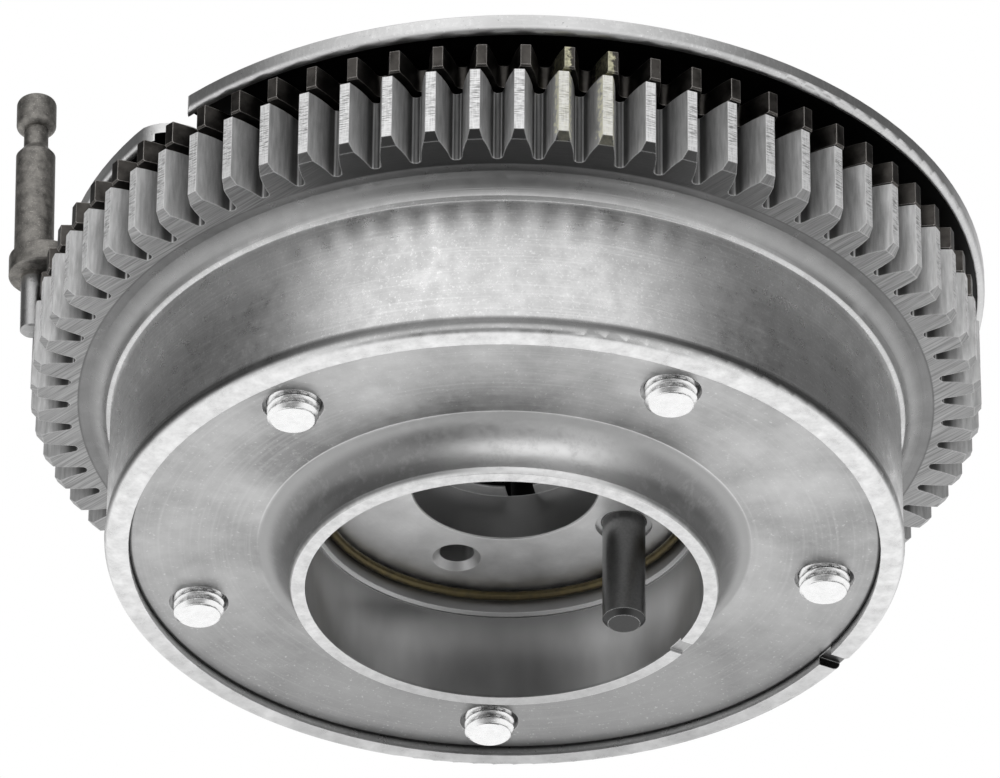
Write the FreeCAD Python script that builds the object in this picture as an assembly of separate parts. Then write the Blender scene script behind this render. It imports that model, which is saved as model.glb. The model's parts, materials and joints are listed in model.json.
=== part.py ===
import FreeCAD, Part
import math
import os

# Cam phaser: a drum housing with a spur gear and a spring-loaded scissor gear round it,
# a stator and a five-vane rotor inside, a trigger wheel in front and a flared nose behind.
# Millimetres and degrees. The phaser's axis is Z. Heights below are measured up from the
# nose's flat end. Every finished piece is then lowered by seat_z, so that the origin is on
# the axis, in the rotor's seat face, where the camshaft's end comes to rest.

os.makedirs("parts", exist_ok=True)

# Clearances
axial_gap = 0.05          # rotor to either cover
fit_gap = 0.05            # small pieces in their bores and grooves
cover_gap = 0.05          # covers in the housing's counterbores
turn_gap = 0.06           # scissor gear on its hub

# Gear: its outer radius drives the drum, the hub and the covers
teeth = 70
gap_az = 165.813          # centre of one tooth gap
tip_r = 55.25
pressure = 17.0
module = tip_r / (teeth / 2 + 1.349)
pitch_r = module * teeth / 2
root_r = tip_r - 3.026 * module
root_round = 0.41 * module
tip_land = 0.757 * module
tip_chamfer = 0.85
gear_z0 = 24.6
gear_z1 = 33.65

# Hub above the gear and the scissor gear on it
hub_step = 3.65           # hub below the main teeth's roots
hub_r = root_r - hub_step
hub_top = 39.3
scissor_z0 = 34.4
scissor_z1 = 37.3
scissor_drop = 0.35       # scissor tips below the main tips
scissor_tip_r = tip_r - scissor_drop
scissor_shift = 0.72      # degrees ahead of the main teeth
scissor_foot_w = 1.05
scissor_chamfer = 0.2
ring_z0 = 37.4
ring_t = 1.1
ring_groove_depth = 1.3
ring_groove_r = hub_r - ring_groove_depth
ring_w = 3.4
ring_outer_r = ring_groove_r + 0.1 + ring_w
ring_open = 24.0

# C-shaped spring between the gears
spring_inset = 1.55       # the wire's middle below the roots
spring_r = root_r - spring_inset
spring_wire = 1.2
spring_z = 32.75
spring_open = 40.0
spring_az = 340.0
spring_groove_z = 31.6
small_pin_r = 0.7
small_pin_az = 3.0        # each small pin from its end of the spring's opening
pin_play = 0.75           # between each end of the spring and its pin

# Drum
shoulder_r = root_r - 2.25
wall_r = root_r - 4.8
rim_z = 4.65
rim_r = wall_r + 0.15
rim_edge = 1.1            # round on the rim's outer edge
cover_seat_r = rim_r - 2.8          # counterbores for both covers
rim_slot_w = 2.6
rim_slot_depth = 1.1

# Nose and rear cover
nose_bore_r = 22.85
nose_end_r = 24.75
nose_edge = 0.35
nose_lip_r = 28.45        # where the flare meets the plate
plate_z = 5.8
floor_z = 11.1            # inner face of the rear cover
nose_slot_w = 2.5
nose_slot_depth = 0.4
mark_az = 29.4            # dowel, nose slot and rim slot share this angle

# Chambers, webs and bolts
chamber_wall = 2.2        # from the chambers to the covers' counterbores
chamber_r = cover_seat_r - chamber_wall
rotor_r = 26.9
web_tip_gap = 0.3
web_tip_r = rotor_r + web_tip_gap
web_half = 11.0
chamber_round = 2.0
ceiling_z = 29.1          # inner face of the front cover
front_t = 5.0
bolt_az = [230.4, 299.5, 8.75, 92.5, 161.4]
bolt_inset = 3.6          # the bolts' circle inside the chambers' outer wall
bolt_circle_r = chamber_r - bolt_inset
bolt_r = 2.95
bolt_end_z = 3.94
bolt_hole_r = 3.25
thread_hole_r = 3.0
thread_step = 1.0
thread_depth = 0.32
head_r = 5.0
head_h = 3.3
socket_r = 2.6
socket_depth = 2.0

# Rotor
seat_z = 14.3
recess_r = 22.3
seat_bore_r = 10.8
seat_edge = 0.15
ledge_z = 20.3
bore_r = 9.0
vane_gap = 0.15
vane_r = chamber_r - vane_gap
vane_round = 2.2
vane_half = 8.0
vane_lead = 4.0           # free angle behind each narrow vane
wide_vane = 40.0
wide_lead = 0.75
travel = 20.0
boss_r = 15.5
boss_top = 40.9
boss_hole_r = 15.8
oil_r = 1.3
oil_z = [22.1, 25.7]
feed_r = 2.05
feed_edge = 0.8
feed_xy = (-5.6, 14.9)
slot_az = 79.5
slot_w = 3.3
slot_r = 12.6
dowel_circle_r = 15.9
dowel_r = 2.5
dowel_end_z = 0.8
dowel_chamfer = 0.63
dowel_depth = 6.0
dowel_base_r = 3.3
dowel_base_depth = 0.5
dowel_press = 0.2         # the pressed length is a little thicker
ring_wire = 1.1

# Seals: thickness along the circle, height along the radius
seal_w = 2.0
seal_h = 3.3
seal_play = 1.15          # room for the leaf spring under the seal
leaf_t = 0.25

# Lock pin in the wide vane
lock_inset = 7.6          # the lock pin's axis inside the chambers' outer wall
lock_circle_r = chamber_r - lock_inset
lock_r = 4.2
lock_len = 9.6
lock_lift = 0.25
lock_bore_r = 2.9
lock_floor = 3.6
lock_plug_t = 2.0
lock_hole_depth = 3.5
lock_wire = 0.7
lock_turns = 5

# Trigger wheel: its outer arcs have their centre a little off the axis
wheel_top = 42.2
wheel_t = 1.3
wheel_rim_z = 39.9
wheel_rim_t = 0.9
wheel_step = 1.15         # the wheel's arcs inside the main tips
wheel_r = tip_r - wheel_step
wheel_offset = 1.9
wheel_notch = 14.1        # depth of the notches between the sectors
wheel_plate_r = wheel_r - wheel_notch
wheel_bore_r = 9.6
# each sector's start and end angle, and the corner rounds there
wheel_sectors = [(225.4, 411.0, 1.5, 1.5), (194.6, 221.6, 1.2, 5.0), (92.0, 139.0, 1.5, 1.5)]
screw_circle_r = 12.4
screw_r = 1.5
screw_head_r = 2.7
screw_len = 8.0
screw_az = [15.0, 135.0, 255.0]

# Bias spring
bias_z0 = 35.2
bias_h = 4.0
bias_strip = 1.0
bias_r0 = 17.4
bias_r1 = 30.6
bias_turns = 4
bias_tang_az = 60.0
tang_arc = 3.4
tang_play = 1.5
anchor_circle_r = 33.0
anchor_r = 1.2
anchor_az = 62.4

# Transport pin, in the gap between two teeth. It leans outward a little.
pin_az = 186.72
pin_step = 0.15           # its axis beyond the main tips, at its foot
pin_circle_r = tip_r + pin_step
pin_z0 = 31.1
pin_lean = 1.3
pin_tip_r = 1.45
pin_edge = 0.2
flange_r = 4.1
flange_shift = 1.2        # the flange's centre is nearer the phaser's axis
flange_z0 = 38.8
flange_z1 = 41.6
body_r = 2.325
body_z = 56.0
neck_z = 57.2
neck_r = 1.44
head_z = 59.8
knob_r = 2.35
knob_round = 0.8
pin_top = 64.1

UP = FreeCAD.Vector(0, 0, 1)
ZERO = FreeCAD.Vector(0, 0, 0)


def polar(r, az, z=0.0):
    a = math.radians(az)
    return FreeCAD.Vector(r * math.cos(a), r * math.sin(a), z)


def disc(r, z0, z1, centre=ZERO):
    return Part.makeCylinder(r, z1 - z0, FreeCAD.Vector(centre.x, centre.y, z0), UP)


def ring(r0, r1, z0, z1):
    return disc(r1, z0, z1).cut(disc(r0, z0 - 1, z1 + 1))


def turned(points, centre=ZERO):
    # A full turn of a closed outline. A point is (r, z), and an entry of two points is the
    # middle and the end of an arc.
    edges = []
    last = FreeCAD.Vector(points[0][0], 0, points[0][1])
    first = last
    for p in points[1:] + [points[0]]:
        if isinstance(p[0], tuple):
            mid = FreeCAD.Vector(p[0][0], 0, p[0][1])
            end = FreeCAD.Vector(p[1][0], 0, p[1][1])
            edges.append(Part.Arc(last, mid, end).toShape())
        else:
            end = FreeCAD.Vector(p[0], 0, p[1])
            if (end - last).Length > 1e-6:
                edges.append(Part.LineSegment(last, end).toShape())
        last = end
    if (last - first).Length > 1e-6:
        edges.append(Part.LineSegment(last, first).toShape())
    solid = Part.Face(Part.Wire(edges)).revolve(ZERO, UP, 360)
    solid.translate(centre)
    return solid


def arc_edge(r, a0, a1, z, centre=ZERO):
    pts = [polar(r, a, z) + centre for a in (a0, (a0 + a1) / 2, a1)]
    return Part.Arc(*pts).toShape()


def line_edge(a, b):
    return Part.LineSegment(a, b).toShape()


def sector(r0, r1, a0, a1, z0, z1):
    edges = [arc_edge(r1, a0, a1, z0),
             line_edge(polar(r1, a1, z0), polar(r0, a1, z0)),
             arc_edge(r0, a1, a0, z0),
             line_edge(polar(r0, a0, z0), polar(r1, a0, z0))]
    return Part.Face(Part.Wire(edges)).extrude(UP * (z1 - z0))


def block(r0, r1, width, az, z0, z1):
    # A block whose length runs outward along the radius at az.
    box = Part.makeBox(r1 - r0, width, z1 - z0, FreeCAD.Vector(r0, -width / 2, z0))
    box.rotate(ZERO, UP, az)
    return box


def fuse(shapes):
    whole = shapes[0]
    for s in shapes[1:]:
        whole = whole.fuse(s)
    return whole.removeSplitter()


def upright_edges(shape, r_low, r_high):
    # The straight edges parallel to Z whose distance from the axis lies in the given range.
    found = []
    for e in shape.Edges:
        a, b = e.Vertexes[0].Point, e.Vertexes[-1].Point
        if abs(a.x - b.x) + abs(a.y - b.y) < 1e-6 and abs(a.z - b.z) > 0.5:
            if r_low <= math.hypot(a.x, a.y) <= r_high:
                found.append(e)
    return found


def save(name, shape):
    shape = shape.copy()
    shape.translate(FreeCAD.Vector(0, 0, -seat_z))
    if not shape.isValid() or not shape.Solids:
        print("not valid:", name)
    shape.exportStep("parts/" + name + ".step")
    print(name, len(shape.Solids), round(shape.Volume, 1))


def involute(angle):
    return math.tan(angle) - angle


def half_tooth(r, outer_r):
    # Half the tooth's angle at radius r, from the land that is left at the tip.
    base_r = pitch_r * math.cos(math.radians(pressure))
    at_tip = involute(math.acos(base_r / outer_r))
    here = involute(math.acos(min(1.0, base_r / r)))
    return math.degrees(tip_land / 2 / outer_r + at_tip - here)


def toothed_face(outer_r, shift, z):
    # One closed outline: for each tooth a round root, a flank, the tip and the other flank.
    pitch = 360.0 / teeth
    foot_r = root_r + root_round
    edges = []
    for i in range(teeth):
        gap = gap_az + shift + i * pitch
        mid = gap + pitch / 2
        foot = pitch / 2 - half_tooth(foot_r, outer_r)
        radii = [foot_r, (foot_r + outer_r) / 2, outer_r]
        edges.append(Part.Arc(polar(foot_r, gap - foot, z), polar(root_r, gap, z),
                              polar(foot_r, gap + foot, z)).toShape())
        rise = [polar(r, mid - half_tooth(r, outer_r), z) for r in radii]
        fall = [polar(r, mid + half_tooth(r, outer_r), z) for r in reversed(radii)]
        edges.append(Part.Arc(*rise).toShape())
        edges.append(line_edge(rise[-1], fall[0]))
        edges.append(Part.Arc(*fall).toShape())
    return Part.Face(Part.Wire(edges))


def gear_band(outer_r, shift, z0, z1, chamfer, inner_r):
    # The toothed ring, with its tips chamfered on the lower side.
    band = toothed_face(outer_r, shift, z0).extrude(UP * (z1 - z0))
    blank = turned([(inner_r, z0), (outer_r - chamfer, z0), (outer_r + 0.2, z0 + chamfer + 0.2),
                    (outer_r + 0.2, z1), (inner_r, z1)])
    return band.common(blank)


def bolt_points(z):
    return [polar(bolt_circle_r, a, z) for a in bolt_az]


def chamber_limits():
    # The start and end angle of each chamber, going round from one web to the next.
    order = sorted(bolt_az)
    limits = []
    for i, a in enumerate(order):
        b = order[(i + 1) % len(order)]
        if b < a:
            b += 360
        limits.append((a + web_half, b - web_half))
    return limits


def vane_limits():
    # Each vane's start and end angle at rest. The widest chamber has the wide vane.
    widest = max(b - a for a, b in chamber_limits())
    limits = []
    for a, b in chamber_limits():
        if b - a == widest:
            limits.append((a + wide_lead, a + wide_lead + wide_vane))
        else:
            limits.append((a + vane_lead, a + vane_lead + 2 * vane_half))
    return limits


def lock_az():
    a, b = max(vane_limits(), key=lambda v: v[1] - v[0])
    return (a + b) / 2


def gear_housing():
    body = turned([
        (cover_seat_r, rim_z), (rim_r - rim_edge, rim_z),
        ((rim_r - 0.29 * rim_edge, rim_z + 0.29 * rim_edge), (rim_r, rim_z + rim_edge)),
        (rim_r, rim_z + 1.25), (wall_r, rim_z + 2.1),
        (wall_r, gear_z0 - 2.2), (wall_r + 0.5, gear_z0 - 1.95),
        ((shoulder_r - 1.3, gear_z0 - 0.75), (shoulder_r, gear_z0)),
        (root_r - 0.4, gear_z0), (root_r - 0.4, gear_z1),
        (spring_r + 0.8, gear_z1), (spring_r + 0.8, spring_groove_z),
        (spring_r - 0.8, spring_groove_z), (spring_r - 0.8, gear_z1),
        (hub_r, gear_z1), (hub_r, ring_z0 - 0.05), (ring_groove_r, ring_z0 - 0.05),
        (ring_groove_r, ring_z0 + ring_t + 0.05), (hub_r, ring_z0 + ring_t + 0.05),
        (hub_r, hub_top - 0.4), (hub_r - 0.4, hub_top), (cover_seat_r + 0.4, hub_top),
        (cover_seat_r, hub_top - 0.4)])
    band = gear_band(tip_r, 0.0, gear_z0, gear_z1, tip_chamfer, spring_r + 0.8)
    body = fuse([body, band])
    body = body.cut(block(cover_seat_r - 1, rim_r + 1, rim_slot_w, mark_az, rim_z - 1,
                          rim_z + rim_slot_depth))
    return body.cut(disc(small_pin_r, spring_groove_z - 3, spring_groove_z + 1, stop_pin_point()))


def stator():
    # The ring pressed into the housing between the covers. Its five webs part the chambers.
    body = ring(web_tip_r, cover_seat_r, floor_z, ceiling_z)
    for a, b in chamber_limits():
        room = sector(web_tip_r - 2, chamber_r, a, b, floor_z - 1, ceiling_z + 1)
        room = room.makeFillet(chamber_round, upright_edges(room, chamber_r - 0.1, chamber_r + 0.1))
        body = body.cut(room)
    for a, p in zip(bolt_az, bolt_points(0)):
        body = body.cut(disc(bolt_hole_r, floor_z - 1, ceiling_z + 1, p))
        body = body.cut(block(web_tip_r - 1, web_tip_r + seal_h + seal_play, seal_w + 2 * fit_gap, a,
                              floor_z - 1, ceiling_z + 1))
    return body


def rear_cover():
    body = turned([
        (nose_bore_r, 0), (nose_end_r - nose_edge, 0), (nose_end_r, nose_edge * 2),
        ((nose_end_r + 0.75, plate_z * 0.68), (nose_lip_r, plate_z)),
        (cover_seat_r - cover_gap, plate_z), (cover_seat_r - cover_gap, floor_z),
        (nose_bore_r, floor_z)])
    body = body.cut(block(nose_bore_r - 1, nose_end_r + 1, nose_slot_w, mark_az, -1,
                          nose_slot_depth))
    for p in bolt_points(0):
        body = body.cut(disc(thread_hole_r, plate_z - 1, floor_z + 1, p))
        body = body.cut(Part.makeCone(bolt_hole_r + 0.25, thread_hole_r, 0.55,
                                      FreeCAD.Vector(p.x, p.y, plate_z), UP))
    lock = polar(lock_circle_r, lock_az())
    return body.cut(disc(lock_r + fit_gap * 3, floor_z - lock_hole_depth, floor_z + 1, lock))


def front_cover():
    body = turned([
        (boss_hole_r, ceiling_z), (cover_seat_r - cover_gap, ceiling_z),
        (cover_seat_r - cover_gap, ceiling_z + front_t - 0.5),
        (cover_seat_r - cover_gap - 0.5, ceiling_z + front_t), (boss_hole_r, ceiling_z + front_t)])
    for p in bolt_points(0):
        body = body.cut(disc(bolt_hole_r, ceiling_z - 1, ceiling_z + front_t + 1, p))
    anchor = polar(anchor_circle_r, anchor_az)
    body = body.cut(disc(anchor_r, ceiling_z + 1.5, ceiling_z + front_t + 1, anchor))
    vent = polar(lock_circle_r, lock_az() + travel / 2)
    return body.cut(disc(1.0, ceiling_z - 1, ceiling_z + front_t + 1, vent))


def housing_bolt(centre):
    # Button head with a six-sided socket, a plain shank, and thread crests at the open end.
    head_z = ceiling_z + front_t
    outline = [(0, bolt_end_z), (bolt_r - 0.6, bolt_end_z), (bolt_r - thread_depth, bolt_end_z + 0.35)]
    z = bolt_end_z + 0.35
    for _ in range(3):
        outline.append((bolt_r, z + thread_step * 0.4))
        outline.append((bolt_r, z + thread_step * 0.55))
        outline.append((bolt_r - thread_depth, z + thread_step))
        z += thread_step
    outline += [(bolt_r, z + 0.3), (bolt_r, head_z), (head_r, head_z), (head_r, head_z + 1.2),
                ((head_r - 0.75, head_z + 2.6), (head_r - 2.0, head_z + head_h)),
                (0, head_z + head_h)]
    body = turned(outline)
    corners = [polar(socket_r, 60 * i, head_z + head_h - socket_depth) for i in range(7)]
    socket = Part.Face(Part.makePolygon(corners)).extrude(UP * (socket_depth + 1))
    body = body.cut(socket)
    body.translate(centre)
    return body


def rotor():
    z0 = floor_z + axial_gap
    z1 = ceiling_z - axial_gap
    body = turned([
        (recess_r + 0.3, z0), (rotor_r, z0), (rotor_r, z1), (boss_r, z1), (boss_r, boss_top),
        (bore_r, boss_top), (bore_r, ledge_z), (seat_bore_r, ledge_z), (seat_bore_r, seat_z + seat_edge),
        (seat_bore_r + seat_edge, seat_z), (recess_r, seat_z), (recess_r, z0 + 0.3)])
    vanes = []
    for a, b in vane_limits():
        vane = sector(rotor_r - 2, vane_r, a, b, z0, z1)
        vanes.append(vane.makeFillet(vane_round, upright_edges(vane, vane_r - 0.1, vane_r + 0.1)))
    body = fuse([body] + vanes)
    for a, b in vane_limits():
        body = body.cut(block(vane_r - seal_h - seal_play, vane_r + 1, seal_w + 2 * fit_gap,
                              a + vane_half, z0 - 1, z1 + 1))
        for side, z in zip((a - 2.4, b + 2.4), oil_z):
            hole = Part.makeCylinder(oil_r, rotor_r - bore_r + 2, polar(bore_r - 1, side, z),
                                     polar(1, side))
            body = body.cut(hole)
    lock = polar(lock_circle_r, lock_az())
    body = body.cut(disc(lock_r + fit_gap, z0 - 1, z1 + 1, lock))
    feed = FreeCAD.Vector(feed_xy[0], feed_xy[1], 0)
    body = body.cut(disc(feed_r, seat_z - 1, ledge_z + 1.5, feed))
    body = body.cut(Part.makeCone(feed_r + feed_edge, feed_r, feed_edge,
                                  FreeCAD.Vector(feed.x, feed.y, seat_z), UP))
    body = body.cut(block(bore_r - 1, slot_r, slot_w, slot_az, ledge_z, ledge_z + 8))
    dowel = polar(dowel_circle_r, mark_az)
    body = body.cut(disc(dowel_r + dowel_press, seat_z - 1, seat_z + dowel_depth + 0.3, dowel))
    body = body.cut(disc(dowel_base_r, seat_z - 1, seat_z + dowel_base_depth, dowel))
    body = body.cut(sector(boss_r - 2.3, boss_r + 1, bias_tang_az - travel - tang_play,
                           bias_tang_az + tang_arc + tang_play, bias_z0 - 0.4, bias_z0 + bias_h + 0.4))
    for a in screw_az:
        body = body.cut(disc(screw_r + fit_gap, boss_top - screw_len, boss_top + 1,
                             polar(screw_circle_r, a)))
    return body


def dowel_pin():
    top = seat_z + dowel_depth
    pressed_r = dowel_r + dowel_press
    return turned([(0, dowel_end_z), (dowel_r - dowel_chamfer, dowel_end_z),
                   (dowel_r, dowel_end_z + dowel_chamfer), (dowel_r, seat_z + dowel_base_depth),
                   (pressed_r, seat_z + dowel_base_depth), (pressed_r, top - dowel_chamfer),
                   (pressed_r - dowel_chamfer, top), (0, top)], polar(dowel_circle_r, mark_az))


def recess_ring():
    r = ring_wire / 2
    return Part.makeTorus(recess_r - r - fit_gap, r, FreeCAD.Vector(0, 0, seat_z - r - 0.35), UP)


def seal_block(r0, r1, az):
    # A strip whose two long faces follow the radii r0 and r1, with a little play endwise.
    strip = block(r0 - 1, r1 + 1, seal_w, az, floor_z + 2 * axial_gap, ceiling_z - 2 * axial_gap)
    return strip.common(ring(r0, r1, floor_z, ceiling_z))


def leaf(r_ends, r_middle, az):
    # A bowed leaf along Z: its ends at one radius and its middle at another.
    z0 = floor_z + 0.8
    z1 = ceiling_z - 0.8
    mid = (z0 + z1) / 2
    t = leaf_t if r_middle > r_ends else -leaf_t
    low = [FreeCAD.Vector(r_ends, 0, z0), FreeCAD.Vector(r_middle - t, 0, mid),
           FreeCAD.Vector(r_ends, 0, z1)]
    high = [FreeCAD.Vector(r_ends + t, 0, z1), FreeCAD.Vector(r_middle, 0, mid),
            FreeCAD.Vector(r_ends + t, 0, z0)]
    wire = Part.Wire([Part.Arc(*low).toShape(), line_edge(low[2], high[0]),
                      Part.Arc(*high).toShape(), line_edge(high[2], low[0])])
    solid = Part.Face(wire).extrude(FreeCAD.Vector(0, seal_w - 0.4, 0))
    solid.translate(FreeCAD.Vector(0, -(seal_w - 0.4) / 2, 0))
    solid.rotate(ZERO, UP, az)
    return solid


def vane_seal(az):
    return seal_block(vane_r - seal_h + 0.07, vane_r + 0.07, az)


def vane_leaf(az):
    r = vane_r - seal_h
    return leaf(r, r - seal_play + 0.1, az)


def web_seal(az):
    return seal_block(web_tip_r - 0.2, web_tip_r - 0.2 + seal_h, az)


def web_leaf(az):
    r = web_tip_r - 0.2 + seal_h
    return leaf(r + 0.07, r + seal_play + 0.1, az)


def lock_pin():
    z = floor_z + lock_lift
    return turned([(0, z), (lock_r - 0.8, z), (lock_r, z + 0.8), (lock_r, z + lock_len - 0.3),
                   (lock_r - 0.3, z + lock_len), (lock_bore_r, z + lock_len),
                   (lock_bore_r, z + lock_floor), (0, z + lock_floor)],
                  polar(lock_circle_r, lock_az()))


def lock_plug():
    z1 = ceiling_z - 2 * axial_gap
    z0 = z1 - lock_plug_t
    return turned([(1.2, z0), (lock_r, z0), (lock_r, z1), (1.2, z1)],
                  polar(lock_circle_r, lock_az()))


def lock_spring():
    # A round-wire coil standing on the lock pin's inner floor and reaching up to the plug.
    z0 = floor_z + lock_lift + lock_floor + lock_wire / 2 + 0.05
    z1 = ceiling_z - 2 * axial_gap - lock_plug_t - lock_wire / 2 - 0.05
    r = lock_bore_r - 0.2 - lock_wire / 2
    helix = Part.makeHelix((z1 - z0) / lock_turns, z1 - z0, r)
    section = Part.Wire(Part.makeCircle(lock_wire / 2, FreeCAD.Vector(r, 0, 0), FreeCAD.Vector(0, 1, 0)))
    coil = Part.Wire(helix.Edges).makePipeShell([section], True, True)
    p = polar(lock_circle_r, lock_az(), z0)
    coil.translate(p)
    return coil


def scissor_gear():
    inner = hub_r + turn_gap
    band = gear_band(scissor_tip_r, scissor_shift, scissor_z0, scissor_z1, scissor_chamfer, inner)
    foot = ring(inner, hub_r + scissor_foot_w, gear_z1 + axial_gap, scissor_z0)
    body = fuse([band, foot])
    return body.cut(disc(small_pin_r, scissor_z0 - 1, scissor_z1 + 1, scissor_pin_point()))


def scissor_pin_point():
    return polar(spring_r, spring_az - spring_open / 2 + small_pin_az)


def stop_pin_point():
    return polar(spring_r, spring_az + spring_open / 2 - small_pin_az)


def scissor_pin():
    return disc(small_pin_r, spring_groove_z + 0.3, scissor_z1, scissor_pin_point())


def stop_pin():
    return disc(small_pin_r, spring_groove_z - 3, gear_z1 - 0.1, stop_pin_point())


def scissor_spring():
    # Round wire bent to an open ring. Its two ends face the two pins.
    r = spring_wire / 2
    half = spring_open / 2 - small_pin_az + math.degrees((small_pin_r + pin_play) / spring_r)
    torus = Part.makeTorus(spring_r, r, FreeCAD.Vector(0, 0, spring_z), UP)
    opening = sector(spring_r - spring_wire, spring_r + spring_wire, spring_az - half, spring_az + half,
                     spring_z - spring_wire, spring_z + spring_wire)
    return torus.cut(opening)


def retaining_ring():
    body = turned([(ring_groove_r + 0.1, ring_z0), (ring_outer_r - 0.2, ring_z0),
                   (ring_outer_r, ring_z0 + 0.2), (ring_outer_r, ring_z0 + ring_t),
                   (ring_groove_r + 0.1, ring_z0 + ring_t)])
    half = ring_open / 2
    body = body.cut(sector(ring_groove_r - 2, ring_outer_r + 2, 90 - half, 90 + half, ring_z0 - 1,
                           ring_z0 + ring_t + 1))
    for a in (90 - half - 2.2, 90 + half + 2.2):
        ear = polar((ring_groove_r + ring_outer_r) / 2, a)
        body = body.cut(disc(0.9, ring_z0 - 1, ring_z0 + ring_t + 1, ear))
    return body


def corner_edge(lobe, az):
    # The outer upright edge nearest to the given angle.
    target = polar(wheel_r, az)
    corners = upright_edges(lobe, wheel_plate_r + 5, wheel_r + 5)

    def distance(e):
        p = e.Vertexes[0].Point
        return math.hypot(p.x - target.x, p.y - target.y)

    return min(corners, key=distance)


def wheel_outline(r, a0, a1, z):
    # The angles are taken about the phaser's axis, and the arc about the wheel's own centre.
    centre = FreeCAD.Vector(wheel_offset, 0, 0)

    def own_angle(az):
        a = math.radians(az)
        reach = wheel_offset * math.cos(a) + math.sqrt(r * r - (wheel_offset * math.sin(a)) ** 2)
        p = polar(reach, az) - centre
        own = math.degrees(math.atan2(p.y, p.x))
        while own < az - 180:
            own += 360
        return own

    b0, b1 = own_angle(a0), own_angle(a1)
    inner_r = wheel_plate_r - 3
    p0 = polar(r, b0, z) + centre
    p1 = polar(r, b1, z) + centre
    edges = [arc_edge(r, b0, b1, z, centre), line_edge(p1, polar(inner_r, a1, z)),
             arc_edge(inner_r, a1, a0, z), line_edge(polar(inner_r, a0, z), p0)]
    return Part.Face(Part.Wire(edges))


def trigger_wheel():
    # A pressed plate: each sector's outer edge is turned down to a low rim.
    under = wheel_top - wheel_t
    body = disc(wheel_plate_r, under, wheel_top)
    for a0, a1, round0, round1 in wheel_sectors:
        lobe = wheel_outline(wheel_r, a0, a1, wheel_rim_z).extrude(UP * (wheel_top - wheel_rim_z))
        for az, radius in ((a0, round0), (a1, round1)):
            lobe = lobe.makeFillet(radius, [corner_edge(lobe, az)])
        hollow = turned([(0, wheel_rim_z - 1), (wheel_r - wheel_rim_t, wheel_rim_z - 1),
                         (wheel_r - wheel_rim_t, under), (0, under)],
                        FreeCAD.Vector(wheel_offset, 0, 0))
        lobe = lobe.cut(hollow)
        skin = turned([(0, wheel_rim_z), (wheel_r - 0.85, wheel_rim_z),
                       ((wheel_r - 0.25, wheel_rim_z + 0.22), (wheel_r, wheel_rim_z + 0.75)),
                       (wheel_r, wheel_top - 0.25), (wheel_r - 0.25, wheel_top), (0, wheel_top)],
                      FreeCAD.Vector(wheel_offset, 0, 0))
        body = body.fuse(lobe.common(skin))
    body = body.removeSplitter()
    body = body.cut(disc(wheel_bore_r, under - 1, wheel_top + 1))
    for a in screw_az:
        p = polar(screw_circle_r, a, under)
        body = body.cut(disc(screw_r + 0.1, under - 1, wheel_top + 1, p))
        body = body.cut(Part.makeCone(screw_r + 0.1, screw_head_r + 0.1, wheel_t, p, UP))
    return body


def trigger_screw(az):
    under = wheel_top - wheel_t
    body = turned([(0, boss_top - screw_len + 1.0), (screw_r - 0.3, boss_top - screw_len + 1.0),
                   (screw_r, boss_top - screw_len + 1.3), (screw_r, under),
                   (screw_head_r, wheel_top - 0.02), (0, wheel_top - 0.02)],
                  polar(screw_circle_r, az))
    corners = [polar(1.1, 60 * i, wheel_top - 0.8) + polar(screw_circle_r, az) for i in range(7)]
    return body.cut(Part.Face(Part.makePolygon(corners)).extrude(UP * 2))


def spiral_points(offset):
    steps = bias_turns * 12
    pts = []
    for i in range(steps + 1):
        r = bias_r0 + (bias_r1 - bias_r0) * i / steps + offset
        pts.append(polar(r, bias_tang_az + 360.0 * bias_turns * i / steps, bias_z0))
    return pts


def bias_spring():
    # A flat strip wound into a spiral, its inner end turned in to a tang and its outer end
    # turned out to a hook behind the anchor pin.
    inner = Part.BSplineCurve()
    inner.interpolate(spiral_points(0.0))
    outer = Part.BSplineCurve()
    outer.interpolate(spiral_points(bias_strip))
    a, b = spiral_points(0.0)[0], spiral_points(bias_strip)[0]
    c, d = spiral_points(0.0)[-1], spiral_points(bias_strip)[-1]
    wire = Part.Wire([inner.toShape(), line_edge(c, d), outer.toShape(), line_edge(b, a)])
    strip = Part.Face(wire).extrude(UP * bias_h)
    tang = sector(boss_r - 1.6, bias_r0 + 0.5, bias_tang_az, bias_tang_az + tang_arc, bias_z0,
                  bias_z0 + bias_h)
    hook = sector(bias_r1 + 0.5, anchor_circle_r + 1.4, bias_tang_az - 2.0, bias_tang_az, bias_z0,
                  bias_z0 + bias_h)
    return fuse([strip, tang, hook])


def anchor_pin():
    return disc(anchor_r, ceiling_z + 1.5, bias_z0 + bias_h + 0.2, polar(anchor_circle_r, anchor_az))


def transport_pin():
    # Turned about its own foot, with an eccentric flange, then leaned and set in the gap.
    e = pin_edge
    k = knob_round
    low = flange_z0 - pin_z0
    high = flange_z1 - pin_z0
    flat = [(0, 0), (pin_tip_r - e, 0), (pin_tip_r, e), (pin_tip_r, low), (body_r, low),
            (body_r, body_z - pin_z0), (neck_r, neck_z - pin_z0), (neck_r, head_z - pin_z0),
            (knob_r - k, head_z - pin_z0),
            ((knob_r - 0.29 * k, head_z - pin_z0 + 0.29 * k), (knob_r, head_z - pin_z0 + k)),
            (knob_r, pin_top - pin_z0 - k),
            ((knob_r - 0.29 * k, pin_top - pin_z0 - 0.29 * k), (knob_r - k, pin_top - pin_z0)),
            (0, pin_top - pin_z0)]
    flange = turned([(0, low), (flange_r - e, low), (flange_r, low + e), (flange_r, high - e),
                     (flange_r - e, high), (0, high)], FreeCAD.Vector(-flange_shift, 0, 0))
    body = fuse([turned(flat), flange])
    body.rotate(ZERO, FreeCAD.Vector(0, 1, 0), pin_lean)
    body.rotate(ZERO, UP, pin_az)
    body.translate(polar(pin_circle_r, pin_az, pin_z0))
    return body


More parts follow.
